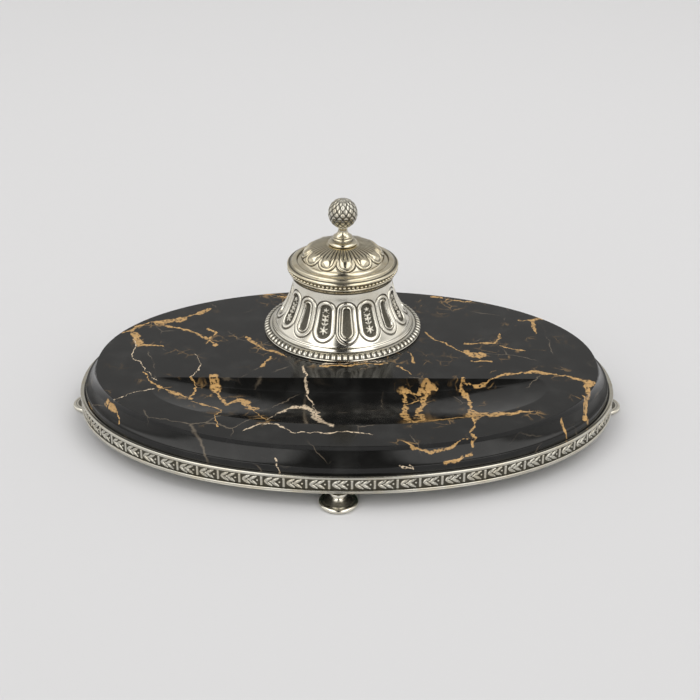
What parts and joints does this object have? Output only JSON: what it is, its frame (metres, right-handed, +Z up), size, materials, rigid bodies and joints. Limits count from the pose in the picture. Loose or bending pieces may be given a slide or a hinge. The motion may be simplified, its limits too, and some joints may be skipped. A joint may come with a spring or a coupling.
{
  "type": "inkwell",
  "caption": "Desk inkwell: silver well with cartouches, hinged domed lid and ball finial on an oval marble stand with a pen tray and button feet.",
  "frame": {"origin": "on the table under the middle of the stand", "axes": "+Z up, -Y towards the writer, +X to the writer's right along the stand"},
  "size_m": [0.3556, 0.2476, 0.1256],
  "materials": {
    "portoro_marble": "polished black stone with gold and cream veins",
    "silver": "polished silver, darkened in its recesses",
    "warm_silver": "polished silver with a warm tarnish",
    "steel": "turned steel",
    "clear_glass": "clear moulded glass",
    "green_felt": "felt"
  },
  "bodies": {
    "stand": {"marble_slab": "portoro_marble", "rim_frieze_strip": "silver", "rim_upper_moulding": "silver", "rim_lower_moulding": "silver", "rim_flange": "silver", "base_felt": "green_felt", "foot_front": "silver", "foot_back": "silver", "foot_left": "silver", "foot_right": "silver", "foot_nuts": "steel", "well_body": "silver", "well_foot_border": "silver", "well_base_plate": "silver", "well_collar": "warm_silver", "fixing_stud": "steel", "fixing_washer": "steel", "fixing_nut": "steel", "liner_seat_ring": "silver", "glass_liner": "clear_glass", "hinge_leaf_fixed": "warm_silver", "hinge_pin": "steel"},
    "lid": {"lid_shell": "warm_silver", "lid_rim_moulding": "warm_silver", "lid_bead_ring": "warm_silver", "lid_bezel": "warm_silver", "hinge_leaf_lid": "warm_silver", "finial_stem": "warm_silver", "finial_ball": "warm_silver", "finial_nut": "steel", "finial_washer": "steel"}
  },
  "joints": [
    {"name": "lid_hinge", "type": "hinge", "parent": "stand", "child": "lid", "pos_m": [-0.0032, 0.0871, 0.0774], "axis": [-1, 0, 0], "range_deg": [0, 100]}
  ]
}
